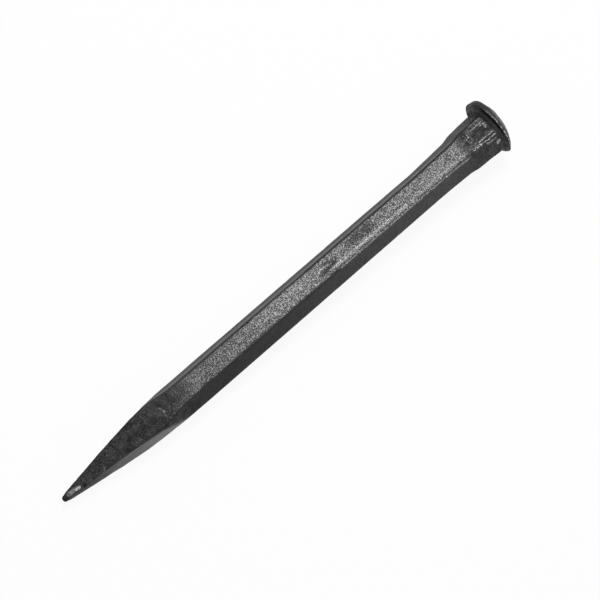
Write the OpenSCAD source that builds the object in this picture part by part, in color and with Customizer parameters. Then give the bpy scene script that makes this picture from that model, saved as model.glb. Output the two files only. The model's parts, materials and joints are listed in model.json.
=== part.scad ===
// Forged hexagonal track spike with a square point and an upset, domed head.
// One forging. It lies on the floor as photographed: +X runs from the point to the head,
// +Z is up, and the rim of the head and the lower shoulder of the point both touch z = 0.
// All sizes in millimetres, angles in degrees.

/* [Overall] */
// Length from the nose of the point to the top of the dome
spike_len = 250; // [200:1:320]

/* [Hexagonal bar] */
// Across the flats of the bar
bar_af = 14.9; // [12:0.1:18]
// Across the rounded corners of the bar
bar_ac = 16.5; // [13:0.1:21]

/* [Square point] */
// Slope of the upper and lower faces of the point against the axis
point_slope = 7.1; // [5:0.1:10]
// Slope of the two side faces of the point against the axis
side_slope = 6.6; // [5:0.1:10]
// Width across the faces of the point, measured at the very end
point_end_w = 2.5; // [1.5:0.1:5]
// Radius of the blunt nose
nose_r = 1.5; // [0.6:0.1:3]
// Blend radius where the upper and lower faces run into the bar
shoulder_r = 240; // [80:5:320]
// Amount taken off each ridge of the point
ridge_cut = 0.45; // [0.1:0.05:1.2]
// Height by which the forging swells the four slanted flats beside the shoulder
shoulder_swell = 1.1; // [0:0.1:1.6]

/* [Neck] */
// Length of the flare under the head
neck_len = 36; // [20:1:60]
// Across the flats of the neck, where it meets the head
neck_af = 18.6; // [16:0.1:22]
// Across the rounded corners of the neck, where it meets the head
neck_ac = 20.8; // [17:0.1:23]
// Height of the step that the edge of the heading die leaves round the neck
die_step = 0.4; // [0:0.05:0.8]
// Distance of that step from the underside of the head
die_pos = 19; // [8:0.5:30]
// Length over which the step rises
die_run = 5; // [2:0.5:8]

/* [Head] */
// Diameter of the head
head_d = 26.3; // [24:0.1:34]
// Height of the rim, from the underside to the foot of the dome
rim_h = 3.4; // [2.4:0.1:7]
// Height of the dome above the rim
dome_h = 4.2; // [2:0.1:8]
// Width of the bevel under the rim
bevel_w = 1.2; // [0.3:0.1:2]
// Height of the bevel under the rim
bevel_h = 1.3; // [0.3:0.1:2]
// Edge break between the rim and the dome
rim_edge_top = 1.1; // [0.4:0.1:1.6]
// Sideways offset of the hand-set head from the bar's axis
head_shift = 1; // [-2:0.1:2]

/* [Hidden] */
$fn = 96;
// Steps in each curved stretch of an outline
arc_n = 8;
flare_n = 18;
// Half-width of the outlines that cut the bar, clear of the neck
cut_w = neck_ac;
// How far an outline runs past the end that it cuts or joins
past = 1;

// Axial stations, from the nose
z_under = spike_len - dome_h - rim_h;
z_rim = spike_len - dome_h;
z_neck = z_under - neck_len;

// Bar and point
bar_h = bar_af / 2;
neck_h = neck_af / 2;
corner_r = bar_ac / 2;
neck_r = neck_ac / 2;
end_h = point_end_w / 2;
slope = tan(point_slope);
side = tan(side_slope);
z_shoulder = (bar_h - end_h) / slope;
blend_t = min(shoulder_r * tan(point_slope / 2), 0.8 * z_shoulder);
blend_r = blend_t / tan(point_slope / 2);
z_blend = z_shoulder + blend_t;
// The square ridges start clear of the nose, and the swelling fades out into the bar
z_ridge = 5 * nose_r;
z_swell = max(0.9 * z_shoulder, z_ridge + past);
z_even = max(0.92 * z_blend, z_swell + past);
// The corners fade a little later than the flats, so that no two outlines bend at one station
z_round = z_swell + 0.4 * (z_even - z_swell) / arc_n;

// Dome
head_r = head_d / 2;
dome_r = (head_r * head_r + dome_h * dome_h) / (2 * dome_h);
edge_top = min(rim_edge_top, 0.9 * (rim_h - bevel_h));

// Lean of the axis: the floor touches the rim above its bevel and the blended shoulder
z_contact = z_under + bevel_h;
rim_dz = z_contact - z_blend;
rim_dh = head_r - bar_h + blend_r;
lean = max(0, acos(blend_r / norm([rim_dz, rim_dh])) - atan2(rim_dz, rim_dh));
rest_h = head_r * cos(lean) - z_contact * sin(lean);
far_x = (spike_len - dome_r) * cos(lean) + dome_r;

// Cosine ease from 0 to 1
function ease(k) = (1 - cos(180 * min(max(k, 0), 1))) / 2;

// Flare between two half-widths, from the bar to the head, with the step of the heading die
function flare(h0, h1) = [
    for (i = [0 : flare_n])
        let (k = i / flare_n, past_die = neck_len * k - neck_len + die_pos)
        [h0 + (h1 - h0 - die_step) * ease(k) + die_step * ease(past_die / die_run), z_neck + neck_len * k]
];

// Blend from a face of the point into a flat of the bar
function shoulder() = [
    for (i = [0 : arc_n])
        let (a = point_slope * (1 - i / arc_n))
        [bar_h - blend_r + blend_r * cos(a), z_blend - blend_r * sin(a)]
];

// Fade from a half-width beside the shoulder to one of the bar, from a given station
function fade(h0, h1, start) = [
    for (i = [0 : arc_n])
        let (k = i / arc_n)
        [h0 + (h1 - h0) * ease(k), start + (z_even - z_swell) * k]
];

// Distance of a ridge of the point from the axis
function ridge(z) = norm([end_h + side * z, end_h + slope * z]) - ridge_cut;

function mirrored(half) = [for (i = [len(half) - 1 : -1 : 0]) [-half[i][0], half[i][1]]];

// Two opposite faces: a symmetrical outline, drawn through the whole bar
module face_pair(half, turn) {
    rotate([0, 0, turn])
        rotate([90, 0, 0])
            linear_extrude(height = 2 * cut_w, center = true)
                polygon(concat(half, mirrored(half)));
}

// Slanted flats of the bar, swollen beside the shoulder and widening at the neck
function plain_flat() = concat(
    [[bar_h + shoulder_swell, -past]],
    fade(bar_h + shoulder_swell, bar_h, z_swell),
    flare(bar_h, neck_h),
    [[neck_h, z_rim]]
);

// Flats that are drawn down into the upper and lower faces of the point
function drawn_flat() = concat(
    [[end_h - slope * past, -past]],
    shoulder(),
    flare(bar_h, neck_h),
    [[neck_h, z_rim]]
);

// Side faces of the point, which run out across two corners of the bar
function side_face() = [
    [end_h - side * past, -past],
    [cut_w, (cut_w - end_h) / side],
    [cut_w, max(spike_len, cut_w / side)]
];

// Round envelope: nose, broken ridges, rounded corners and neck
module envelope() {
    rotate_extrude()
        polygon(concat(
            [for (i = [0 : arc_n]) let (a = 90 * i / arc_n) [nose_r * sin(a), nose_r * (1 - cos(a))]],
            [[ridge(z_ridge), z_ridge]],
            fade(max(ridge(z_round), corner_r), corner_r, z_round),
            flare(corner_r, neck_r),
            [[neck_r, z_rim - past], [0, z_rim - past]]
        ));
}

module bar_and_point() {
    intersection() {
        face_pair(drawn_flat(), 0);
        face_pair(plain_flat(), 60);
        face_pair(plain_flat(), 120);
        face_pair(side_face(), 90);
        envelope();
    }
}

module head() {
    rotate_extrude()
        intersection() {
            translate([0, spike_len - dome_r])
                circle(r = dome_r);
            polygon([
                [0, z_under],
                [head_r - bevel_w, z_under],
                [head_r, z_contact],
                [head_r, z_rim - edge_top],
                [head_r - edge_top / 2, z_rim + edge_top / 4],
                [head_r - edge_top / 2, spike_len + past],
                [0, spike_len + past]
            ]);
        }
}

module forged_spike() {
    color([0.16, 0.16, 0.165])
        translate([-far_x / 2, -head_shift, rest_h])
            rotate([0, 90 - lean, 0])
                union() {
                    bar_and_point();
                    translate([0, head_shift, 0])
                        head();
                }
}

forged_spike();
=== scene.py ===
"""Forged track spike: a hexagonal bar with a square point, a flared neck and a domed head.

The form and its forging marks are one Geometry Nodes tree, and the finish is black forge scale over
worn steel. Lengths in the trees are millimetres along the spike's own axes: x runs from the nose to
the head, y to the left and z out of the upper flat. A span is a pair of values between which a ramp
goes from 0 to 1, or from a third value to a fourth.
"""

import json
import math
from types import SimpleNamespace

import bpy
from mathutils import Matrix, Vector


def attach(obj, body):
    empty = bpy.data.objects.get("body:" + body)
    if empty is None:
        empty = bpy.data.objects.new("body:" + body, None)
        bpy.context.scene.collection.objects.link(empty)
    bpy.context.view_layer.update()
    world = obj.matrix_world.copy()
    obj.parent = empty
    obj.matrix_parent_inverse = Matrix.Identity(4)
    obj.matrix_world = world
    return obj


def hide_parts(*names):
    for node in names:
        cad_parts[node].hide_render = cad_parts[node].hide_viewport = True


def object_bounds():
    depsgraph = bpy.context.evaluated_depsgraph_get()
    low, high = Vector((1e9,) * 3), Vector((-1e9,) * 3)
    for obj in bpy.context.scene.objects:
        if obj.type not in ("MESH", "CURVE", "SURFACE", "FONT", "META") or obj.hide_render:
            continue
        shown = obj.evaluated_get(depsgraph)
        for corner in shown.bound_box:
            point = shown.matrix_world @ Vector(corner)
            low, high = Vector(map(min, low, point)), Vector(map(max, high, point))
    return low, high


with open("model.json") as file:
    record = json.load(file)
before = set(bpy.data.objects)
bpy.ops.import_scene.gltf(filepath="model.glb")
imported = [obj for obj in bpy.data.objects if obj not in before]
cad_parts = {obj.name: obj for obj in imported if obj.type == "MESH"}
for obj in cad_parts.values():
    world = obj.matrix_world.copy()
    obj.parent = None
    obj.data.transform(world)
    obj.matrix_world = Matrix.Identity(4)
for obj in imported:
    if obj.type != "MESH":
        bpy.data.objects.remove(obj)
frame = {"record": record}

bl_info = {
    "name": "Forged Track Spike",
    "version": (1, 0, 0),
    "blender": (4, 5, 0),
    "location": "View3D > Sidebar > Spike",
    "description": "Builds a forged hexagonal spike and a white table to show it on",
    "category": "Object",
}

NODE = "forged_spike"
PIECE = "spike_forging"
MM = 0.001
WHITE = (1.0, 1.0, 1.0, 1.0)
CAD_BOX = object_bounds()
MOUNTS = {mount["name"]: mount for mount in frame["record"]["mounts"]}
NOSE = Vector(MOUNTS["point"]["pos_m"])
APEX = Vector(MOUNTS["struck_face"]["pos_m"])
AXIS = Vector(MOUNTS["struck_face"]["axis"]).normalized()
SPIKE_LENGTH = (APEX - NOSE).dot(AXIS)
HEAD_SHIFT = APEX.y - NOSE.y
HEAD_DIAMETER = CAD_BOX[1].y - CAD_BOX[0].y

# Mesh of the forging: rows along each stretch of it, and columns round the axis
ROWS = {"nose": 10, "point": 150, "bar": 210, "neck": 120, "under": 26, "rim": 14, "dome": 36}
COLUMNS = 160
MERGE_GAP = 0.0005
BLUR_STEPS = 3
# The columns gather on the ridges of the point and, past the span, on the corners of the bar
GATHER = SimpleNamespace(ridges=4.0, on_ridges=0.5, corners=6.0, on_corners=-0.55, span=(44.0, 60.0))

# Faces by their direction round the axis, in degrees, with how far each slanted flat stands out
SLANTED_FLATS = {30: 0.16, 150: 0.25, 210: -0.05, 330: -0.32}
DRAWN_FLATS = (90, 270)
POINT_SIDES = (0, 180)

# Square point, with the shoulder where it runs into the bar. Its rows end where its upper face would
# stand end_of_rows of the bar's flats above the axis
POINT = SimpleNamespace(
    end_of_rows=0.62,
    side_taper=0.93,
    run_out=0.28,
    run_out_span=(50.0, 57.0),
    swell=0.15,
    swell_span=(65.0, 47.0),
    twist=math.radians(6.0),
    twist_span=(50.0, 26.0),
    shoulder_sharpness=12.0,
    nose_slope=0.6,
    nose_sharpness=8.0,
    least_square=1e-4,
)

# Sharpness of the edges between the faces of each stretch
EDGES = SimpleNamespace(
    point=(6.0, 24.0, 11.0, 22.0),
    bar=27.0,
    bar_corners=14.0,
    bar_span=(30.0, 55.0),
    neck=18.0,
    neck_corners=14.0,
)

# Flare of the neck, with the step that the edge of the heading die leaves. Drift is the share of the
# head's shift that the neck follows
NECK = SimpleNamespace(lead=3.5, past=2.0, curve=1.3, die_span=(17.0, 23.0), die_share=0.3, drift=0.5)

# Reach of the head and heights of the foot and the top of its rim, as {waves: (cosine, sine)}
HEAD_REACH = {0: (-0.25, 0.0), 1: (0.3, 0.0), 2: (0.18, 0.69), 3: (-0.13, 0.48)}
HEAD_FOOT = {0: (1.7, 0.0), 1: (-0.82, -0.2), 2: (-0.26, 0.0), 3: (0.0, -0.05)}
HEAD_TOP = {0: (0.15, 0.0), 1: (0.5, 0.06)}
HEAD = SimpleNamespace(
    lump_stretch=(2.6, 2.6, 1.0),
    lump_noise=(1.0, 2.5, 0.6),
    lump_reach=0.5,
    lump_rise=0.4,
    burr_turn=math.radians(188.0),
    burr_power=60.0,
    burr_reach=0.4,
    burr_rise=0.3,
    least_rim=0.4,
    rim_break=0.43,
    dome_rise=0.2,
    dome_curve=2.2,
    dome_start=(0.0, 0.001),
    dome_shift=0.35,
    dome_lift=0.27,
    soft_span=(0.5, 0.1),
)

# Underside of the head: it leaves the neck early on the upper side, and on its way to the rim it has a
# groove and a ridge, as (centre, width)
UNDER = SimpleNamespace(
    early=1.0,
    early_span=(-0.3, 0.6),
    groove=(0.76, 0.24),
    groove_depth=0.5,
    ridge=(0.42, 0.2),
    ridge_height=0.25,
)

# Struck edge of the rim, bare with a painted highlight, and painted shade in the crease under the head
# and in the left corner of the neck. Across, left and right are spans of the turn's cosine, up of its
# sine, and under and rim of how far those rows have run
STRUCK_HIGHLIGHT = SimpleNamespace(across=(0.45, -0.2), up=(0.0, 0.3), under=(0.9, 1.0), rim=(0.6, 0.25))
NICK_AND_GLINT_NOISE = (1.1, 2.0, 0.6)
NICK_AND_GLINT_SPAN = (0.34, 0.62, 0.6, 2.3)
CREASE = SimpleNamespace(under=(0.72, 0.3), left=(0.58, 0.34), right=(-0.95, -0.65), up=(-0.1, 0.4))
CORNER = SimpleNamespace(along=(233.0, 241.0), across=(0.3, 0.7), under=(0.6, 0.0), soot=0.45)
# Cap of the head, painted paler as a painted sheen
CAP_SHEEN_SPAN = (0.2, 0.6)

# Relief of the forging: stretch of the axes, size of the lumps, detail, roughness, seed step, height
RELIEF = {
    "waves": ((0.5, 1.0, 1.0), 9.0, 2.0, 0.5, 0.0, 0.22),
    "draw marks": ((0.05, 1.0, 1.0), 1.6, 2.0, 0.6, 1.0, 0.05),
    "crust": ((1.0, 1.0, 1.0), 1.5, 3.0, 0.65, 2.0, 0.06),
    "folds": ((0.14, 1.0, 1.0), 1.8, 2.0, 0.55, 5.0, 0.3),
    "hammering": ((0.8, 1.0, 1.0), 5.0, 2.0, 0.5, 6.0, 0.35),
}
PITS = SimpleNamespace(size=4.2, span=(0.26, 0.05), height=-0.10)
DENTS = SimpleNamespace(stretch=(0.8, 1.0, 1.0), size=4.6, middle=0.4, height=0.3)
UPSET_SPAN = (222.0, 230.0)
HAMMERED_SPAN = (64.0, 50.0)

# Marks with a place of their own, on the plan of the upper side as (along, across)
UPPER_SPAN = (0.0, 0.8)
RAGGED = SimpleNamespace(size=1.6, bar=0.4, neck=1.0, seed_step=3.0)
# Start, end, width, height, shine. Shine lowers the roughness and paints the colour paler towards steel,
# which is partly a painted highlight; below 0 it dulls the glint and paints the colour darker, partly
# painted shade
STROKES = (
    # Drags on the neck, bare and partly painted highlights, and the dark gaps between them, painted shade
    ((233.0, -2.9), (241.0, -3.2), 1.1, 0.4, 1.3),
    ((234.2, -4.5), (241.0, -4.8), 0.7, 0.4, 1.75),
    ((235.2, -5.6), (240.6, -5.9), 0.65, 0.35, 1.6),
    ((234.5, -3.8), (241.0, -4.0), 0.5, -0.1, -0.6),
    ((236.0, -5.2), (240.8, -5.4), 0.45, -0.1, -0.6),
    ((229.0, -4.1), (233.0, -4.5), 1.3, 0.2, 1.2),
    # Painted glint where the neck meets the head
    ((240.3, -7.5), (241.6, -7.35), 0.8, 0.1, 2.8),
    # More drags on the neck, partly painted highlights
    ((233.5, 3.3), (240.5, 3.5), 1.0, 0.3, 1.1),
    ((238.5, 2.2), (241.0, 2.0), 0.7, 0.25, 1.15),
    ((234.5, 5.3), (240.0, 5.4), 0.6, 0.2, 1.4),
    # Streaks along the upper flat: painted highlights standing for raised draw lines, with no height of
    # their own
    ((148.0, -2.3), (190.0, -2.4), 1.0, 0.0, 1.05),
    ((192.0, -2.4), (226.0, -2.2), 1.0, 0.0, 0.5),
    # Scratches on the shoulder and the point
    ((53.2, -3.4), (53.7, -1.3), 0.45, 0.12, 0.85),
    ((53.7, -1.3), (53.3, 1.2), 0.5, 0.12, 1.2),
    ((19.9, -2.9), (20.8, -1.9), 0.5, 0.12, 1.15),
    # Bright right edge of the upper flat, a worn edge with a painted highlight
    ((150.0, -4.45), (212.0, -4.5), 0.6, 0.0, 1.5),
    ((212.0, -4.5), (226.0, -5.0), 0.6, 0.0, 1.5),
    # Fold in the upper flat: its bright edges and dark line are painted highlight and shade
    ((141.1, -0.2), (143.2, 0.8), 0.8, 0.1, 1.3),
    ((143.2, 0.8), (146.9, 0.2), 0.8, 0.1, 1.3),
    ((141.5, -1.7), (150.5, -0.8), 0.6, -0.15, -0.42),
)
# Centre, reach, height, shine
PATCHES = (
    # Hollow on the neck, dulled and painted a little darker as painted shade, and chips
    ((236.6, 0.2), (4.8, 2.3), -0.4, -0.35),
    ((231.6, 2.6), (1.2, 1.0), 0.15, 1.0),
    ((240.2, 0.6), (1.0, 0.9), 0.1, 1.4),
    # Bare tip with a painted highlight, and dark nose
    ((7.7, -0.8), (1.7, 0.95), -0.2, 2.6),
    ((4.6, -0.1), (4.0, 1.6), 0.0, 1.25),
    ((1.0, 0.0), (1.8, 2.5), 0.0, -1.8),
    # Dent at the start of the neck and pit behind the tip, both darkened with painted shade
    ((228.9, 0.1), (0.9, 1.9), -0.25, -0.7),
    ((10.5, -1.7), (1.5, 0.9), -0.3, -2.0),
    # Dull stretches of the upper flat's glint, painted a little darker as painted shade, and a bright one
    # painted paler as a painted sheen
    ((166.5, 1.4), (11.0, 3.2), 0.0, -0.3),
    ((146.5, 0.4), (6.5, 2.4), 0.0, -0.25),
    ((122.0, 1.6), (25.0, 5.0), 0.0, 0.3),
    # Dark blotches on the point
    ((46.0, -1.0), (5.5, 3.0), 0.0, -0.95),
    ((37.5, -0.8), (5.0, 3.0), 0.0, -0.85),
    ((21.5, 1.3), (2.4, 1.4), 0.0, -1.0),
)
PATCH_SOFTNESS = 0.6
# Centre, reach, width as a share of the reach, height, shine
RINGS = (
    # Raised ring on the neck, with a painted highlight
    ((230.7, 0.6), (1.3, 1.3), 0.5, 0.2, 0.9),
)

# Noise of the finish: size of the lumps, detail, roughness, seed
SCALE_NOISE = {
    "grain": (0.4, 1.0, 0.5, 11.0),
    "cloud": (7.0, 3.0, 0.6, 12.0),
    "mottle": (3.0, 3.0, 0.6, 13.0),
    "fine specks": (0.5, 1.0, 0.5, 16.0),
    "coarse specks": (0.7, 1.0, 0.5, 14.0),
    "fray": (2.0, 3.0, 0.65, 15.0),
}
BUMP_HEIGHT = 0.0001

# Zones of the finish, by place along or across the spike
ZONES = SimpleNamespace(
    wander=6.0,
    shoulder=(80.0, 58.0),
    rolled=(62.5, 70.5),
    upset=(223.5, 228.5),
    upset_wander=0.6,
    still_rolled=(0.35, 0.6, 0.0, 0.54),
    swept=(206.0, 234.0),
    fray=2.2,
    worn_edge=(-3.3, -4.0),
    right=(-4.4, -5.4),
    right_start=(54.0, 70.0),
    left=(4.5, 5.3),
    left_start=(40.0, 60.0),
)

# Pale specks of the forged scale, which are calm on the right side of the bar
SPECKS = SimpleNamespace(
    fine=(0.49, 0.65, 0.0, 1.1),
    coarse=(0.49, 0.65),
    coarse_start=(55.0, 80.0),
    clouds=(0.38, 0.6, 0.35, 1.3),
    calm=0.8,
    calm_start=(52.0, 60.0),
    calm_end=(200.0, 100.0),
)

# Glinting grains of the rolled flats
FLECKS = SimpleNamespace(
    span=(0.36, 0.66),
    rise=(80.0, 200.0, 0.0, 0.035),
    spread=(140.0, 90.0, 0.0, 0.03),
    dimmed=0.42,
    polished=0.5,
)

# Share of grey in the colour of the scale. The cap's share is a painted sheen, the flecks' share partly a
# painted glint, and the right flat's share, darker towards the point, a painted shade
GREY = SimpleNamespace(
    mottle=(0.42, 0.62, 0.0, 0.08),
    grit=0.8,
    cap=0.3,
    cloud=(0.35, 0.65, 0.0, 0.17),
    fleck=0.25,
    right=(80.0, 225.0, 0.02, 0.75),
    swept=0.2,
    swept_grit=1.3,
)

# Bare steel that shows through, also used for painted highlights, and dark marks, partly painted shade
BARE_AND_HIGHLIGHT = SimpleNamespace(burnish=(0.35, 0.6), knock=(0.3, 0.6), knock_shine=1.0, burnish_share=0.2)
SHADE_AND_DARK_MARKS = SimpleNamespace(
    crease=1.15,
    seam=(0.0, 2.0),
    seam_start=(60.0, 80.0),
    dark_marks=(-0.3, -2.0, 0.0, 0.8),
    metal=(0.6, 1.0, 0.0, 0.6),
)

# Roughness, and what takes some of it away
ROUGH = SimpleNamespace(
    scale=0.78,
    scale_mottle=0.5,
    scale_grit=0.38,
    cap=0.2,
    cloud=0.15,
    hammered=(0.38, 0.64, 0.92, 0.68),
    hammered_shoulder=(44.0, 56.0, 0.0, 0.13),
    hammered_grit=0.2,
    hammered_cloud=0.4,
    hammered_grain=0.35,
    flank=(12.0, 30.0, 0.66, 0.45),
    flank_shoulder=(34.0, 48.0, 0.0, 0.05),
    gap=0.62,
    fleck=0.16,
    dull_ridge=0.8,
    dull_edge=0.6,
    dull_marks=(-1.0, -0.3),
    left=0.55,
    left_streak=(5.8, 0.9),
    left_streak_share=0.2,
    left_mottle=0.25,
    left_grain=0.2,
    left_neck=0.74,
    left_neck_specks=0.45,
    left_neck_start=(230.0, 240.0),
    soot=1.0,
)

# Share of the table's own colour that gives way to white, and the width of the camera's sensor in mm
TABLE_LIFT = 0.92
SENSOR_WIDTH = 36.0


class Field:
    """An output socket that builds Math nodes when it is added, multiplied and so on."""

    def __init__(self, graph, socket):
        self.graph = graph
        self.socket = socket

    def __add__(self, other):
        return self.graph.math("ADD", self, other)

    def __sub__(self, other):
        return self.graph.math("SUBTRACT", self, other)

    def __rsub__(self, other):
        return self.graph.math("SUBTRACT", other, self)

    def __mul__(self, other):
        return self.graph.math("MULTIPLY", self, other)

    def __truediv__(self, other):
        return self.graph.math("DIVIDE", self, other)

    def __rtruediv__(self, other):
        return self.graph.math("DIVIDE", other, self)

    def __pow__(self, other):
        return self.graph.math("POWER", self, other)

    __radd__ = __add__
    __rmul__ = __mul__


class Graph:
    """Adds nodes to one tree. Values may be numbers, vectors or Fields."""

    def __init__(self, tree):
        self.tree = tree

    def feed(self, socket, value):
        """Links a Field to a socket, or sets the socket to a plain value."""
        if isinstance(value, Field):
            self.tree.links.new(value.socket, socket)
        else:
            socket.default_value = value

    def fill(self, node, *values):
        """Feeds the inputs of a node in their order."""
        for socket, value in zip(node.inputs, values):
            self.feed(socket, value)
        return node

    def node(self, kind, settings=None, **inputs):
        """Adds a node, with underscores for the spaces in the names of its inputs."""
        made = self.tree.nodes.new(kind)
        for name, value in (settings or {}).items():
            setattr(made, name, value)
        for name, value in inputs.items():
            self.feed(made.inputs[name.replace("_", " ")], value)
        return made

    def out(self, node, name=0):
        """An output of a node, by its name or its number."""
        return Field(self, node.outputs[name])

    def math(self, operation, *values, clamp=False):
        made = self.node("ShaderNodeMath", {"operation": operation, "use_clamp": clamp})
        return self.out(self.fill(made, *values))

    def vector_math(self, operation, *values, output="Vector"):
        made = self.node("ShaderNodeVectorMath", {"operation": operation})
        return self.out(self.fill(made, *values), output)

    def clamp(self, value):
        """Holds a value between 0 and 1."""
        return self.math("ADD", value, 0.0, clamp=True)

    def ramp(self, value, start, end, low=0.0, high=1.0, smooth=True):
        """Goes from low to high while value goes from start to end, and stays there."""
        settings = {"interpolation_type": "SMOOTHSTEP" if smooth else "LINEAR"}
        made = self.node("ShaderNodeMapRange", settings, Value=value, From_Min=start, From_Max=end,
                         To_Min=low, To_Max=high)
        return self.out(made, "Result")

    def mix(self, start, end, share):
        """Goes from start to end while share goes from 0 to 1."""
        if isinstance(start, Field):
            return start + (end - start) * share
        return (end - start) * share + start

    def mix_colours(self, start, end, share):
        """Colour that goes from start to end while share goes from 0 to 1."""
        made = self.node("ShaderNodeMix", {"data_type": "RGBA"})
        sockets = {socket.identifier: socket for socket in made.inputs}
        self.feed(sockets["Factor_Float"], share)
        self.feed(sockets["A_Color"], start)
        self.feed(sockets["B_Color"], end)
        results = {socket.identifier: socket for socket in made.outputs}
        return Field(self, results["Result_Color"])

    def bump_at(self, value, centre, width):
        """A smooth hump of height 1 at centre, gone at width on either side."""
        return self.ramp(self.math("ABSOLUTE", value - centre), width, 0.0)

    def vector(self, x, y, z):
        return self.out(self.node("ShaderNodeCombineXYZ", X=x, Y=y, Z=z))

    def parts(self, vector):
        made = self.node("ShaderNodeSeparateXYZ", Vector=vector)
        return [Field(self, socket) for socket in made.outputs]

    def stretch(self, vector, factors):
        return self.vector_math("MULTIPLY", vector, factors)

    def scaled(self, vector, amount):
        made = self.node("ShaderNodeVectorMath", {"operation": "SCALE"}, Scale=amount)
        return self.out(self.fill(made, vector), "Vector")

    def distance(self, plan, centre, reach):
        """Distance from a place on the plan, with each direction measured in its own reach."""
        away = self.vector_math("SUBTRACT", plan, (*centre, 0.0))
        away = self.stretch(away, (1.0 / reach[0], 1.0 / reach[1], 0.0))
        return self.vector_math("LENGTH", away, output="Value")

    def patch(self, plan, centre, reach, soft):
        """1 in an oval on the plan, fading out over its soft share."""
        return self.ramp(self.distance(plan, centre, reach), 1.0, 1.0 - soft)

    def stroke(self, plan, start, end, width):
        """1 on a straight line on the plan, gone at width from it."""
        run = Vector((*end, 0.0)) - Vector((*start, 0.0))
        away = self.vector_math("SUBTRACT", plan, (*start, 0.0))
        share = self.vector_math("DOT_PRODUCT", away, run / run.length_squared, output="Value")
        foot = self.scaled(run, self.clamp(share))
        return self.ramp(self.vector_math("DISTANCE", away, foot, output="Value"), width, 0.0)

    def noise(self, vector, size, detail, roughness, seed):
        """Noise from 0 to 1 whose lumps are about size across."""
        made = self.node("ShaderNodeTexNoise", {"noise_dimensions": "4D"}, Vector=vector, W=seed,
                         Scale=1.0 / size, Detail=detail, Roughness=roughness)
        return self.out(made)

    def wander(self, vector, size, amount, seed):
        """Random offset of up to about half the amount in each direction."""
        made = self.node("ShaderNodeTexNoise", {"noise_dimensions": "4D"}, Vector=vector, W=seed,
                         Scale=1.0 / size)
        centred = self.vector_math("SUBTRACT", self.out(made, "Color"), (0.5, 0.5, 0.5))
        return self.scaled(centred, amount)

    def cells(self, vector, size, feature):
        """Distance from the middle of the nearest of Voronoi cells about size across."""
        made = self.node("ShaderNodeTexVoronoi", {"feature": feature}, Vector=vector, Scale=1.0 / size)
        return self.out(made, "Distance")

    def change(self, kind, mesh, **inputs):
        """Adds a node that changes a mesh."""
        return self.out(self.node(kind, Geometry=mesh, **inputs), "Geometry")

    def store(self, mesh, name, value, kind="FLOAT"):
        """Keeps a value on each point of a mesh."""
        settings = {"data_type": kind, "domain": "POINT"}
        made = self.node("GeometryNodeStoreNamedAttribute", settings, Geometry=mesh, Name=name,
                         Value=value)
        return self.out(made, "Geometry")

    def stored(self, name):
        """A value that a mesh keeps, read in its own tree."""
        made = self.node("GeometryNodeInputNamedAttribute", {"data_type": "FLOAT"}, Name=name)
        return self.out(made, "Attribute")

    def painted(self, name, output="Fac"):
        """A value that a mesh keeps, read in a material."""
        return self.out(self.node("ShaderNodeAttribute", {"attribute_name": name}), output)


class SpikeForm(bpy.types.PropertyGroup):
    """Sizes of the spike."""

    length: bpy.props.FloatProperty(
        name="Length", description="From the nose to the top of the dome",
        default=SPIKE_LENGTH, unit="LENGTH")
    bar_flats: bpy.props.FloatProperty(
        name="Bar across flats", description="Across the flats of the hexagonal bar",
        default=15.0 * MM, unit="LENGTH")
    point_slope: bpy.props.FloatProperty(
        name="Point slope", description="Slope of each face of the point",
        default=math.radians(7.1), subtype="ANGLE")
    point_end: bpy.props.FloatProperty(
        name="Point end", description="Width of the point at its very end",
        default=2.5 * MM, unit="LENGTH")
    nose_radius: bpy.props.FloatProperty(
        name="Nose radius", description="Radius of the blunt nose",
        default=1.5 * MM, unit="LENGTH")
    neck_length: bpy.props.FloatProperty(
        name="Neck length", description="Length of the flare under the head",
        default=36.0 * MM, unit="LENGTH")
    neck_flats: bpy.props.FloatProperty(
        name="Neck across flats", description="Across the neck where it meets the head",
        default=19.0 * MM, unit="LENGTH")
    head_diameter: bpy.props.FloatProperty(
        name="Head diameter", description="Across the head",
        default=HEAD_DIAMETER, unit="LENGTH")
    rim_height: bpy.props.FloatProperty(
        name="Rim height", description="Height of the rim of the head",
        default=3.4 * MM, unit="LENGTH")
    dome_height: bpy.props.FloatProperty(
        name="Dome height", description="Height of the dome above the rim",
        default=4.2 * MM, unit="LENGTH")
    head_shift: bpy.props.FloatProperty(
        name="Head shift", description="Offset of the head from the bar",
        default=HEAD_SHIFT, unit="LENGTH")
    seed: bpy.props.FloatProperty(
        name="Seed", description="Changes the random forging marks",
        default=4.0)


class SpikeFinish(bpy.types.PropertyGroup):
    """Colours of the spike."""

    # The dark scale also paints the shade under the head and along the upper ridge, the grey scale the
    # sheen on the cap, and the bare steel the highlights
    scale_dark: bpy.props.FloatVectorProperty(
        name="Dark scale", description="Thick black forge scale",
        subtype="COLOR", default=(0.005, 0.005, 0.0051))
    scale_grey: bpy.props.FloatVectorProperty(
        name="Grey scale", description="Thin, dusty forge scale",
        subtype="COLOR", default=(0.048, 0.048, 0.0484))
    bare_steel_and_highlight: bpy.props.FloatVectorProperty(
        name="Bare steel and highlight", description="Steel where the scale is knocked off",
        subtype="COLOR", default=(0.56, 0.555, 0.55))


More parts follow.
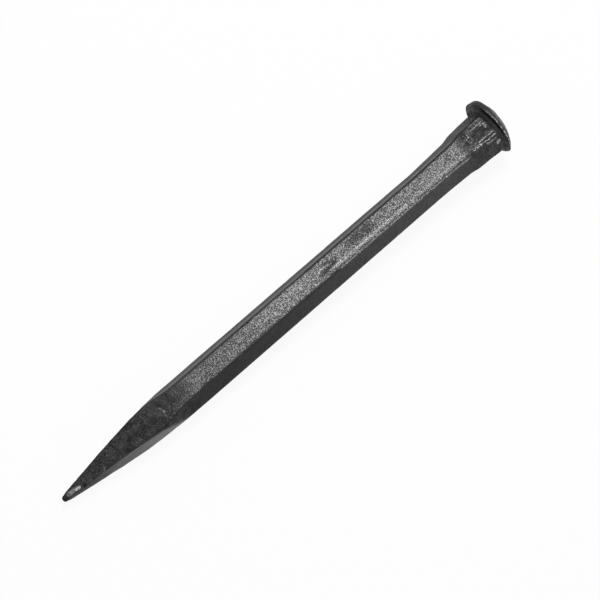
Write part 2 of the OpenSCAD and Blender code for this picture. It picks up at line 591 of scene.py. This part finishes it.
class SpikeStage(bpy.types.PropertyGroup):
    """Camera, light and table."""

    view_azimuth: bpy.props.FloatProperty(
        name="Azimuth", description="Where the camera stands round the spike",
        default=math.radians(-51.834), subtype="ANGLE")
    view_elevation: bpy.props.FloatProperty(
        name="Elevation", description="Height of the camera above the table",
        default=math.radians(69.8156), subtype="ANGLE")
    view_roll: bpy.props.FloatProperty(
        name="Roll", description="Turn of the camera about its own line of sight",
        default=math.radians(9.529), subtype="ANGLE")
    view_distance: bpy.props.FloatProperty(
        name="Distance", description="From the camera to the point that it looks at",
        default=0.787127, unit="LENGTH")
    view_target: bpy.props.FloatVectorProperty(
        name="Target", description="Point that the camera looks at",
        default=(0.0043954, -0.0026744, 0.01), subtype="TRANSLATION")
    lens: bpy.props.FloatProperty(
        name="Lens", description="Focal length on a sensor 36 mm wide, in millimetres",
        default=112.07)
    lamp_place: bpy.props.FloatVectorProperty(
        name="Lamp", description="Where the soft lamp hangs",
        default=(0.33, 0.26, 1.15), subtype="TRANSLATION")
    lamp_size: bpy.props.FloatVectorProperty(
        name="Lamp size", description="Size of the soft lamp along x and y",
        default=(0.40, 0.42), size=2, unit="LENGTH")
    lamp_power: bpy.props.FloatProperty(
        name="Lamp power", description="Power of the soft lamp, in watts",
        default=8.8)
    sky: bpy.props.FloatProperty(
        name="Sky", description="Strength of the even light from all round",
        default=0.45)
    table_half: bpy.props.FloatProperty(
        name="Table half width", description="From the middle of the table to its edges",
        default=20.0, unit="LENGTH")
    table_white: bpy.props.FloatVectorProperty(
        name="Table", description="Colour of the table",
        subtype="COLOR", default=(0.92, 0.92, 0.92))


FORM_INPUTS = tuple(SpikeForm.__annotations__)
PLAIN_INPUTS = ("point_slope", "seed")


def sway(noise, amount):
    """Noise from 0 to 1 turned into one that goes both ways from 0, with the amount between its ends."""
    return (noise - 0.5) * amount


def smooth_min(first, second, sharpness):
    """The smaller of two lengths, rounded where they are alike."""
    return (first ** -sharpness + second ** -sharpness) ** (-1.0 / sharpness)


def harmonics(graph, turn, terms):
    """Sum of cosine and sine waves round the axis, with terms as {waves: (cosine, sine)}."""
    total = 0.0
    for waves, (cosine, sine) in terms.items():
        if waves == 0:
            total = total + cosine
        else:
            wave = graph.math("COSINE", turn * waves) * cosine + graph.math("SINE", turn * waves) * sine
            total = wave + total
    return total


def form_group():
    """Graph of an empty tree with an input for each size, those inputs, and a Field for each."""
    tree = bpy.data.node_groups.new("forged_spike", "GeometryNodeTree")
    sockets = {}
    for name in FORM_INPUTS:
        label = name.replace("_", " ").capitalize()
        sockets[name] = tree.interface.new_socket(
            name=label, in_out="INPUT", socket_type="NodeSocketFloat")
    tree.interface.new_socket(name="Geometry", in_out="OUTPUT", socket_type="NodeSocketGeometry")
    graph = Graph(tree)
    group = graph.node("NodeGroupInput")
    size = {name: graph.out(group, place) for place, name in enumerate(FORM_INPUTS)}
    return graph, sockets, size


def flat_grid(graph):
    """Grid to be wrapped round the axis, the turn of its columns and the progress of each stretch."""
    lines = sum(ROWS.values())
    grid = graph.node("GeometryNodeMeshGrid", Size_X=1.0, Size_Y=1.0, Vertices_X=COLUMNS + 1,
                      Vertices_Y=lines + 1)
    column, row, _ = graph.parts(graph.out(graph.node("GeometryNodeInputPosition"), "Position"))
    line = (row + 0.5) * float(lines)
    step, start = {}, 0
    for name, count in ROWS.items():
        step[name] = graph.ramp(line, float(start), float(start + count), smooth=False)
        start += count
    turn = column * (2.0 * math.pi) + math.pi / 2.0
    return graph.out(grid, "Mesh"), turn, step


def neck_start(size):
    """Place along the axis where the neck starts."""
    return size["length"] - size["dome_height"] - size["rim_height"] - size["neck_length"]


def rows_along(graph, step, early, size):
    """Place of each row along the axis, as far as the underside of the head."""
    nose = size["nose_radius"]
    slope = graph.math("TANGENT", size["point_slope"])
    point_length = (size["bar_flats"] * POINT.end_of_rows - size["point_end"] * 0.5) / slope
    along = nose * (1.0 - graph.math("COSINE", step["nose"] * (math.pi / 2.0)))
    along = along + (point_length - nose) * step["point"]
    along = along + (neck_start(size) - point_length) * step["bar"]
    return along + (size["neck_length"] - early) * step["neck"]


def gathered(graph, even, along):
    """Turn of each column round the axis, gathered where the section has its edges."""
    on_corners = graph.math("SINE", even * GATHER.corners) * (GATHER.on_corners / GATHER.corners)
    on_ridges = graph.math("SINE", even * GATHER.ridges) * (GATHER.on_ridges / GATHER.ridges)
    return even + graph.mix(on_ridges, on_corners, graph.ramp(along, *GATHER.span))


def neck_flare(graph, along, size):
    """Goes from 0 on the bar to 1 under the head."""
    start = neck_start(size)
    swell = graph.clamp((along - start + NECK.lead) / (size["neck_length"] + NECK.past)) ** NECK.curve
    die_step = graph.ramp(along, start + NECK.die_span[0], start + NECK.die_span[1])
    return swell * (1.0 - NECK.die_share) + die_step * NECK.die_share


def edge_sharpness(graph, along, turn, flare):
    """Sharpness of the edges between the faces of the point, the bar and the neck."""
    upright = graph.math("SINE", turn)
    corners = upright * upright
    uneven = EDGES.bar_corners - graph.math("COSINE", turn) * EDGES.bar_corners
    bar = corners * uneven + EDGES.bar
    sharpness = graph.mix(graph.ramp(along, *EDGES.point), bar, graph.ramp(along, *EDGES.bar_span))
    return graph.mix(sharpness, corners * EDGES.neck_corners + EDGES.neck, flare)


def nose_reach(graph, along, size):
    """Half-width of the round nose and of the cone behind it."""
    nose = size["nose_radius"]
    below = graph.math("MINIMUM", along, nose)
    square = graph.math("MAXIMUM", below * (nose * 2.0 - below), POINT.least_square)
    return graph.math("SQRT", square) + (along - below) * POINT.nose_slope


def bar_section(graph, along, turn, flare, size):
    """Half-width of the point, the bar and the neck in the direction turn.

    It comes with how close that direction is to a ridge, and its share on the sides of the point.
    """
    flat = graph.mix(size["bar_flats"] * 0.5, size["neck_flats"] * 0.5, flare)
    swollen = flat * (graph.ramp(along, *POINT.swell_span) * POINT.swell + 1.0)
    slope = graph.math("TANGENT", size["point_slope"])
    drawn = smooth_min(flat, size["point_end"] * 0.5 + slope * along, POINT.shoulder_sharpness)
    side = size["point_end"] * 0.5 + slope * along * POINT.side_taper
    side = side + graph.ramp(along, *POINT.run_out_span) * POINT.run_out
    sharpness = edge_sharpness(graph, along, turn, flare)
    twisted = turn + graph.ramp(along, *POINT.twist_span) * POINT.twist

    def face(direction, angle, reach):
        facing = graph.math("MAXIMUM", graph.math("COSINE", direction - math.radians(angle)), 0.0)
        return (facing * flat / reach) ** sharpness

    faces = [face(turn, angle, swollen + offset) for angle, offset in SLANTED_FLATS.items()]
    faces += [face(twisted, angle, drawn) for angle in DRAWN_FLATS]
    sides = [face(twisted, angle, side) for angle in POINT_SIDES]
    total, largest = 0.0, 0.0
    for term in faces + sides:
        total = term + total
        largest = graph.math("MAXIMUM", term, largest)
    reach = flat * total ** (-1.0 / sharpness)
    reach = smooth_min(reach, nose_reach(graph, along, size), POINT.nose_sharpness)
    return reach, graph.clamp(total / largest - 1.0), (sides[0] + sides[1]) / total


def head_outline(graph, turn, ring, size):
    """Reach of the head from its middle, and the heights of the foot and the top of its rim."""
    lumps = graph.noise(graph.stretch(ring, HEAD.lump_stretch), *HEAD.lump_noise, size["seed"])
    burr = graph.math("MAXIMUM", graph.math("COSINE", turn - HEAD.burr_turn), 0.0) ** HEAD.burr_power
    reach = size["head_diameter"] * 0.5 + harmonics(graph, turn, HEAD_REACH)
    reach = reach + sway(lumps, HEAD.lump_reach) + burr * HEAD.burr_reach
    foot = harmonics(graph, turn, HEAD_FOOT) + burr * HEAD.burr_rise
    top = size["rim_height"] + harmonics(graph, turn, HEAD_TOP) + sway(lumps, HEAD.lump_rise)
    return reach, foot, graph.math("MAXIMUM", top, foot + HEAD.least_rim)


def surface_place(graph, along, turn, bar_reach, flare, early, step, size):
    """Place of each point of the grid on the bar, the neck and the head."""
    side, up = graph.math("COSINE", turn), graph.math("SINE", turn)
    head_reach, foot, top = head_outline(graph, turn, graph.vector(side, up, 0.0), size)
    groove = graph.bump_at(step["under"], *UNDER.groove) * UNDER.groove_depth
    groove = groove - graph.bump_at(step["under"], *UNDER.ridge) * UNDER.ridge_height
    head_along = (foot + early) * step["under"] + groove + (top - foot) * step["rim"]
    inward = 1.0 - step["dome"]
    apex = size["rim_height"] + size["dome_height"] + HEAD.dome_rise
    crown = (apex - top) * (1.0 - inward ** HEAD.dome_curve) * graph.ramp(step["dome"], *HEAD.dome_start)
    head_reach = (head_reach - step["rim"] * step["rim"] * HEAD.rim_break) * inward
    radius = graph.mix(bar_reach, head_reach, step["under"])
    drift = size["head_shift"] * NECK.drift * graph.math("SQRT", flare)
    centre = graph.mix(drift, size["head_shift"], step["under"]) + step["dome"] * HEAD.dome_shift
    height = radius * up + step["dome"] * HEAD.dome_lift
    return graph.vector(along + head_along + crown, centre + radius * side, height)


def head_masks(graph, even, along, step):
    """Where the rim is bare with a painted highlight, and where shade is painted under the head."""
    across, up = graph.math("COSINE", even), graph.math("SINE", even)
    # Struck rim: bare steel with a painted highlight on its edge
    struck_highlight = graph.ramp(across, *STRUCK_HIGHLIGHT.across) * graph.ramp(up, *STRUCK_HIGHLIGHT.up)
    rim = graph.ramp(step["under"], *STRUCK_HIGHLIGHT.under) * graph.ramp(step["rim"], *STRUCK_HIGHLIGHT.rim) * struck_highlight
    # Painted shade in the crease under the head and in the left corner of the neck
    crease = graph.bump_at(step["under"], *CREASE.under) * graph.ramp(across, *CREASE.left)
    crease = crease * graph.ramp(across, *CREASE.right) * graph.ramp(up, *CREASE.up)
    corner = graph.ramp(along, *CORNER.along) * graph.ramp(across, *CORNER.across)
    corner = corner * graph.ramp(step["under"], *CORNER.under) * CORNER.soot
    return rim, crease + corner


def placed_marks(graph, plan):
    """Height and shine of the marks that have a place of their own."""
    marks = []
    for start, end, width, rise, gloss in STROKES:
        marks.append((graph.stroke(plan, start, end, width), rise, gloss))
    for centre, reach, rise, gloss in PATCHES:
        marks.append((graph.patch(plan, centre, reach, PATCH_SOFTNESS), rise, gloss))
    for centre, reach, width, rise, gloss in RINGS:
        marks.append((graph.bump_at(graph.distance(plan, centre, reach), 1.0, width), rise, gloss))
    height, shine = 0.0, 0.0
    for mark, rise, gloss in marks:
        height = mark * rise + height
        shine = mark * gloss + shine
    return height, shine


def forging_marks(graph, spot, head, seed):
    """Height of the forging marks, in millimetres along the surface's normal, and how shiny they are."""
    along, _, up = graph.parts(spot)
    upper = graph.ramp(up, *UPPER_SPAN) * (1.0 - head)
    neck = graph.ramp(along, *UPSET_SPAN)
    point = graph.ramp(along, *HAMMERED_SPAN)

    lumps = {}
    for name, (stretch, size, detail, roughness, seed_step, height) in RELIEF.items():
        noise = graph.noise(graph.stretch(spot, stretch), size, detail, roughness, seed + seed_step)
        lumps[name] = sway(noise, height)
    pits = graph.ramp(graph.cells(spot, PITS.size, "F1"), *PITS.span) * PITS.height
    dents = graph.cells(graph.stretch(spot, DENTS.stretch), DENTS.size, "SMOOTH_F1")
    dents = (dents - DENTS.middle) * DENTS.height
    all_over = lumps["waves"] + lumps["draw marks"] + lumps["crust"] + pits

    raggedness = graph.mix(RAGGED.bar, RAGGED.neck, neck)
    offset = graph.wander(spot, RAGGED.size, raggedness, seed + RAGGED.seed_step)
    ragged = graph.vector_math("ADD", spot, offset)
    height, shine = placed_marks(graph, graph.stretch(ragged, (1.0, 1.0, 0.0)))
    relief = all_over + neck * (dents + lumps["folds"]) + point * lumps["hammering"] + upper * height
    return relief, upper * shine


def spike_form_tree(material):
    """Builds the tree of the forging: a grid that is wrapped round the axis, then marked by the forge."""
    graph, sockets, size = form_group()
    mesh, even, step = flat_grid(graph)
    early = graph.ramp(graph.math("SINE", even), *UNDER.early_span) * UNDER.early
    along = rows_along(graph, step, early, size)
    turn = gathered(graph, even, along)
    flare = neck_flare(graph, along, size)
    reach, ridge, flank = bar_section(graph, along, turn, flare, size)
    place = surface_place(graph, along, turn, reach, flare, early, step, size)
    rim, soot = head_masks(graph, even, along, step)
    # The rim mask is the struck rim, bare with a painted highlight, the cap mask a painted sheen, and the
    # last mask the painted shade under the head
    masks = {
        "ridge": ridge * (1.0 - step["under"]),
        "head": step["under"],
        "soften": step["under"] * graph.ramp(step["dome"], *HEAD.soft_span),
        "rim": rim,
        "cap": graph.ramp(step["rim"], *CAP_SHEEN_SPAN),
        "flank": flank,
        "soot": soot,
    }
    for name, value in masks.items():
        mesh = graph.store(mesh, name, value)
    mesh = graph.change("GeometryNodeSetPosition", mesh, Position=place)
    mesh = graph.change("GeometryNodeMergeByDistance", mesh, Distance=MERGE_GAP)

    spot = graph.out(graph.node("GeometryNodeInputPosition"), "Position")
    blurred = graph.node("GeometryNodeBlurAttribute", {"data_type": "FLOAT_VECTOR"}, Value=spot,
                         Iterations=BLUR_STEPS, Weight=graph.stored("soften"))
    mesh = graph.change("GeometryNodeSetPosition", mesh, Position=graph.out(blurred, "Value"))
    relief, shine = forging_marks(graph, spot, graph.stored("head"), size["seed"])
    normal = graph.out(graph.node("GeometryNodeInputNormal"), "Normal")
    mesh = graph.change("GeometryNodeSetPosition", mesh, Offset=graph.scaled(normal, relief))
    # Nicks break the struck rim into dots of bare steel and painted highlight
    nicks_and_glints = graph.ramp(graph.noise(spot, *NICK_AND_GLINT_NOISE, size["seed"]), *NICK_AND_GLINT_SPAN)
    mesh = graph.store(mesh, "shine", shine + graph.stored("rim") * nicks_and_glints)
    mesh = graph.store(mesh, "spike_mm", spot, "FLOAT_VECTOR")
    mesh = graph.change("GeometryNodeSetShadeSmooth", mesh)
    mesh = graph.change("GeometryNodeRealizeInstances", mesh)
    mesh = graph.change("GeometryNodeSetMaterial", mesh, Material=material)
    graph.fill(graph.node("NodeGroupOutput"), mesh)
    return graph.tree, sockets


def blank_material(name):
    """A material with no nodes yet, and the graph of its tree."""
    material = bpy.data.materials.new(name)
    material.use_nodes = True
    material.node_tree.nodes.clear()
    return material, Graph(material.node_tree)


def scale_fields(graph):
    """Textures, marks and zones that the colour and the roughness of the scale share."""
    spot = graph.painted("spike_mm", "Vector")
    noise = {name: graph.noise(spot, *numbers) for name, numbers in SCALE_NOISE.items()}
    fields = SimpleNamespace(grain=noise["grain"], cloud=noise["cloud"], mottle=noise["mottle"])
    fields.along, fields.side, _ = graph.parts(spot)
    for name in ("ridge", "shine", "cap", "flank"):
        setattr(fields, name, graph.painted(name))
    # Painted shade in the crease under the head and in the left corner of the neck
    crease = graph.painted("soot")

    wander = sway(fields.cloud, ZONES.wander)
    right = graph.ramp(fields.side, *ZONES.right)
    fields.right = right * graph.ramp(fields.along, *ZONES.right_start)
    fields.left = graph.ramp(fields.side, *ZONES.left) * graph.ramp(fields.along, *ZONES.left_start)
    fields.shoulder = graph.ramp(fields.along, *ZONES.shoulder)
    fields.upset = graph.ramp(fields.along + wander * ZONES.upset_wander, *ZONES.upset)
    still_rolled = graph.mix(1.0, graph.ramp(fields.mottle, *ZONES.still_rolled), fields.upset)
    fields.rolled = graph.ramp(fields.along + wander, *ZONES.rolled) * still_rolled
    fields.swept = graph.ramp(fields.along + wander, *ZONES.swept)
    fields.worn_edge = graph.ramp(fields.side + sway(noise["fray"], ZONES.fray), *ZONES.worn_edge)

    fine = graph.ramp(noise["fine specks"], *SPECKS.fine)
    coarse = graph.ramp(noise["coarse specks"], *SPECKS.coarse)
    fields.specks = graph.mix(fine, coarse, graph.ramp(fields.along, *SPECKS.coarse_start))
    calm = right * graph.ramp(fields.along, *SPECKS.calm_start)
    calm = calm * graph.ramp(fields.along, *SPECKS.calm_end)
    fields.grit = fields.specks * graph.ramp(fields.cloud, *SPECKS.clouds) * (1.0 - calm * SPECKS.calm)

    dimmed = graph.math("MINIMUM", fields.shine, 0.0) * FLECKS.dimmed
    polished = graph.math("MAXIMUM", fields.shine, 0.0) * FLECKS.polished
    lifted = fields.grain + graph.ramp(fields.along, *FLECKS.rise) + dimmed
    spread = graph.ramp(fields.along, *FLECKS.spread)
    start, end = FLECKS.span
    fields.fleck = graph.clamp(graph.ramp(lifted, start - spread, spread + end) + polished)
    fields.burnish = graph.clamp(fields.shine * graph.ramp(fields.grain, *BARE_AND_HIGHLIGHT.burnish))

    # Painted shade: a dark line along the upper ridge of the bar, and the crease under the head, broken
    # by the specks. Marks with shine below -0.3 are painted darker too: the dark blotches and nose, and
    # painted shade in the gaps, the dent, the pit and the fold
    seam = fields.ridge * graph.ramp(fields.side, *SHADE_AND_DARK_MARKS.seam) * graph.ramp(fields.along, *SHADE_AND_DARK_MARKS.seam_start)
    dark_marks = graph.ramp(fields.shine, *SHADE_AND_DARK_MARKS.dark_marks, smooth=False)
    thin = fields.specks * (1.0 - crease)
    fields.soot = graph.clamp(crease * (SHADE_AND_DARK_MARKS.crease - thin) + seam + dark_marks)
    return fields


def scale_colour(graph, fields, finish):
    """Colour of the scale: dark to grey, steel where it is knocked off or a highlight is painted, and
    dark again under dark marks and painted shade.
    """
    dark, pale = (*finish.scale_dark, 1.0), (*finish.scale_grey, 1.0)
    steel = (*finish.bare_steel_and_highlight, 1.0)
    # The cap of the head is painted paler, a painted sheen
    forged = graph.ramp(fields.mottle, *GREY.mottle) + fields.grit * GREY.grit + fields.cap * GREY.cap
    # The glinting grains are painted paler too, partly a painted glint
    rolled = graph.ramp(fields.cloud, *GREY.cloud) + fields.fleck * GREY.fleck
    swept = graph.mix(1.0, fields.grit * GREY.swept_grit + GREY.swept, fields.swept)
    # The right flat is painted darker towards the point, a painted shade
    right = graph.ramp(fields.along, *GREY.right, smooth=False) * swept
    grey = graph.mix(graph.mix(forged, rolled, fields.rolled), right, fields.right)
    # Bare steel where the scale is knocked off, and painted highlights where strong shine stands for a
    # glint
    knocked = graph.clamp(fields.shine - BARE_AND_HIGHLIGHT.knock_shine) * graph.ramp(fields.grain, *BARE_AND_HIGHLIGHT.knock)
    knocked = graph.clamp(knocked + fields.burnish * BARE_AND_HIGHLIGHT.burnish_share)
    colour = graph.mix_colours(dark, pale, grey)
    colour = graph.mix_colours(colour, steel, knocked)
    # Dark again under the dark marks and the painted shade
    return graph.mix_colours(colour, dark, fields.soot)


def scale_roughness(graph, fields):
    """Roughness of the scale: hammered on the point, glinting on the rolled flats, dull elsewhere."""
    hammered = graph.ramp(fields.mottle, *ROUGH.hammered)
    hammered = hammered - graph.ramp(fields.along, *ROUGH.hammered_shoulder)
    hammered = hammered - fields.grit * ROUGH.hammered_grit - sway(fields.cloud, ROUGH.hammered_cloud)
    hammered = hammered - sway(fields.grain, ROUGH.hammered_grain)
    flank = graph.ramp(fields.along, *ROUGH.flank) - graph.ramp(fields.along, *ROUGH.flank_shoulder)
    dull = ROUGH.scale - sway(fields.mottle, ROUGH.scale_mottle) - fields.grit * ROUGH.scale_grit
    point = graph.mix(hammered, flank, fields.flank)
    dull = graph.mix(dull, point, fields.shoulder) - fields.cap * ROUGH.cap

    facing = fields.rolled * (1.0 - fields.ridge * ROUGH.dull_ridge)
    facing = facing * (1.0 - fields.worn_edge * ROUGH.dull_edge)
    glint = graph.clamp(facing * graph.ramp(fields.shine, *ROUGH.dull_marks) + fields.burnish)
    grains = graph.mix(ROUGH.gap, ROUGH.fleck, fields.fleck)
    rough = graph.mix(dull, grains, glint) + sway(fields.cloud, ROUGH.cloud)

    left = ROUGH.left - graph.bump_at(fields.side, *ROUGH.left_streak) * ROUGH.left_streak_share
    left = left - sway(fields.mottle, ROUGH.left_mottle) - sway(fields.grain, ROUGH.left_grain)
    left_neck = ROUGH.left_neck - fields.specks * ROUGH.left_neck_specks
    left = graph.mix(left, left_neck, fields.upset * graph.ramp(fields.along, *ROUGH.left_neck_start))
    return graph.mix(graph.mix(rough, left, fields.left), ROUGH.soot, fields.soot)


def scale_material(finish):
    """Black forge scale over steel: grainy, glinting where it is rolled, bare on edges and knocks, with
    painted highlights and painted shade.
    """
    material, graph = blank_material("forge_scale")
    fields = scale_fields(graph)
    bump = graph.node("ShaderNodeBump", Strength=1.0, Distance=BUMP_HEIGHT, Height=fields.grain)
    # A black metal reflects less than scale does, so where the dark marks and painted shade are thickest,
    # in the crease under the head and on the darkest marks, it is part metal
    shader = graph.node("ShaderNodeBsdfPrincipled", Base_Color=scale_colour(graph, fields, finish),
                        Metallic=graph.ramp(fields.soot, *SHADE_AND_DARK_MARKS.metal),
                        Roughness=scale_roughness(graph, fields), Normal=graph.out(bump))
    graph.node("ShaderNodeOutputMaterial", Surface=graph.out(shader))
    return material


def table_material(colour):
    """White table: plain paper to scattered light, and lifted to white where it is seen or mirrored."""
    material, graph = blank_material("white_table")
    paper = graph.node("ShaderNodeBsdfDiffuse", Color=(*colour, 1.0))
    glow = graph.node("ShaderNodeEmission", Color=WHITE, Strength=1.0)
    path = graph.node("ShaderNodeLightPath")
    seen = [graph.out(path, name) for name in ("Is Camera Ray", "Is Glossy Ray", "Is Transmission Ray")]
    lifted = graph.clamp(seen[0] + seen[1] + seen[2]) * TABLE_LIFT
    blend = graph.fill(graph.node("ShaderNodeMixShader"), lifted, graph.out(paper), graph.out(glow))
    graph.node("ShaderNodeOutputMaterial", Surface=graph.out(blend))
    return material


def placement():
    """From the spike's own millimetres to the frame's metres."""
    across = Vector((0.0, 1.0, 0.0))
    out = AXIS.cross(across)
    turn = Matrix((AXIS, across, out)).transposed().to_4x4()
    return Matrix.Translation(NOSE) @ turn @ Matrix.Scale(MM, 4)


def plain_mesh(tree, sockets, values, name):
    """Runs a tree on an empty object and keeps the result as a mesh with no modifier."""
    carrier = bpy.data.objects.new(name + "_carrier", bpy.data.meshes.new(name + "_carrier"))
    bpy.context.scene.collection.objects.link(carrier)
    modifier = carrier.modifiers.new("forging", "NODES")
    modifier.node_group = tree
    for key, value in values.items():
        modifier[sockets[key].identifier] = value
    evaluated = carrier.evaluated_get(bpy.context.evaluated_depsgraph_get())
    mesh = bpy.data.meshes.new_from_object(evaluated)
    mesh.name = name
    bpy.data.objects.remove(carrier)
    return mesh


class SPIKE_OT_forging(bpy.types.Operator):
    """Build the forged spike in place of its plain solid"""

    bl_idname = "spike.forging"
    bl_label = "Forge the Spike"

    def execute(self, context):
        form, finish = context.scene.spike_form, context.scene.spike_finish
        tree, sockets = spike_form_tree(scale_material(finish))
        values = {}
        for name in FORM_INPUTS:
            unit = 1.0 if name in PLAIN_INPUTS else MM
            values[name] = getattr(form, name) / unit
        mesh = plain_mesh(tree, sockets, values, PIECE)
        mesh.transform(placement())
        piece = bpy.data.objects.new(PIECE, mesh)
        context.scene.collection.objects.link(piece)
        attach(piece, "root")
        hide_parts(NODE)
        return {"FINISHED"}


def lay_table(stage):
    """White square table at the height of the floor."""
    half = stage.table_half
    corners = [(-half, -half, 0.0), (half, -half, 0.0), (half, half, 0.0), (-half, half, 0.0)]
    mesh = bpy.data.meshes.new("table")
    mesh.from_pydata(corners, [], [(0, 1, 2, 3)])
    mesh.materials.append(table_material(stage.table_white))
    table = bpy.data.objects.new("table", mesh)
    bpy.context.scene.collection.objects.link(table)


def set_lights(stage):
    """Even white light from all round, and a soft lamp that faces straight down."""
    world = bpy.data.worlds.new("studio")
    world.use_nodes = True
    background = world.node_tree.nodes["Background"]
    background.inputs["Color"].default_value = WHITE
    background.inputs["Strength"].default_value = stage.sky
    bpy.context.scene.world = world

    light = bpy.data.lights.new("softbox", "AREA")
    light.shape = "RECTANGLE"
    light.size, light.size_y = stage.lamp_size
    light.energy = stage.lamp_power
    lamp = bpy.data.objects.new("softbox", light)
    lamp.location = stage.lamp_place
    bpy.context.scene.collection.objects.link(lamp)


def set_camera(stage):
    """Camera that looks at the target from the stage's direction and distance."""
    look = bpy.data.cameras.new("camera")
    look.lens = stage.lens
    look.sensor_width = SENSOR_WIDTH
    camera = bpy.data.objects.new("camera", look)
    azimuth, elevation = stage.view_azimuth, stage.view_elevation
    back = Vector((math.sin(azimuth) * math.cos(elevation), -math.cos(azimuth) * math.cos(elevation),
                   math.sin(elevation)))
    turn = (-back).to_track_quat("-Z", "Y").to_matrix() @ Matrix.Rotation(stage.view_roll, 3, "Z")
    place = Vector(stage.view_target) + back * stage.view_distance
    camera.matrix_world = Matrix.Translation(place) @ turn.to_4x4()
    bpy.context.scene.collection.objects.link(camera)
    bpy.context.scene.camera = camera


class SPIKE_OT_stage(bpy.types.Operator):
    """Lay a white table under the spike, with soft light and the camera"""

    bl_idname = "spike.stage"
    bl_label = "Set the Stage"

    def execute(self, context):
        stage = context.scene.spike_stage
        lay_table(stage)
        set_lights(stage)
        set_camera(stage)
        context.scene.view_settings.view_transform = "Standard"
        return {"FINISHED"}


class SPIKE_PT_panel(bpy.types.Panel):
    """Sizes, colours and steps of the spike"""

    bl_idname = "SPIKE_PT_panel"
    bl_label = "Forged Spike"
    bl_space_type = "VIEW_3D"
    bl_region_type = "UI"
    bl_category = "Spike"

    def draw(self, context):
        for settings in (context.scene.spike_form, context.scene.spike_finish, context.scene.spike_stage):
            box = self.layout.box()
            for name in settings.__annotations__:
                box.prop(settings, name)
        self.layout.operator(SPIKE_OT_forging.bl_idname)
        self.layout.operator(SPIKE_OT_stage.bl_idname)


CLASSES = (SpikeForm, SpikeFinish, SpikeStage, SPIKE_OT_forging, SPIKE_OT_stage, SPIKE_PT_panel)


def register():
    for cls in CLASSES:
        bpy.utils.register_class(cls)
    bpy.types.Scene.spike_form = bpy.props.PointerProperty(type=SpikeForm)
    bpy.types.Scene.spike_finish = bpy.props.PointerProperty(type=SpikeFinish)
    bpy.types.Scene.spike_stage = bpy.props.PointerProperty(type=SpikeStage)


def unregister():
    del bpy.types.Scene.spike_stage
    del bpy.types.Scene.spike_finish
    del bpy.types.Scene.spike_form
    for cls in reversed(CLASSES):
        bpy.utils.unregister_class(cls)


def main():
    register()
    bpy.ops.spike.stage()
    bpy.ops.spike.forging()


if __name__ == "__main__":
    main()
